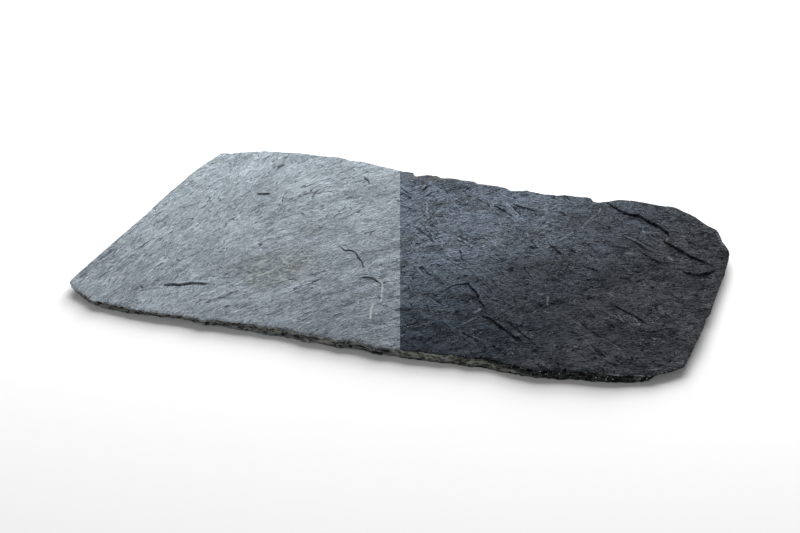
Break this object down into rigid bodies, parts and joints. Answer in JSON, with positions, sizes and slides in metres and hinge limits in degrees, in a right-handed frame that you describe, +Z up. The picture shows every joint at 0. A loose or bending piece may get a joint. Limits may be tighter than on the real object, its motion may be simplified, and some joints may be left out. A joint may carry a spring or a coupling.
{
  "type": "slate slab",
  "caption": "Flat riven slate slab with a split, ridged upper face and a broken, layered rim; one half dry and pale, the other wet and dark.",
  "frame": {"origin": "under the middle of the slab's box, on the plane that its underside rests on", "axes": "+X along the slab's length, +Y across it, +Z up through its thickness"},
  "size_m": [0.907, 0.57, 0.019],
  "materials": {
    "slate": "riven blue-grey slate, matt where dry and satin dark grey where wet"
  },
  "bodies": {
    "root": {"slate_slab": "slate"}
  },
  "joints": []
}
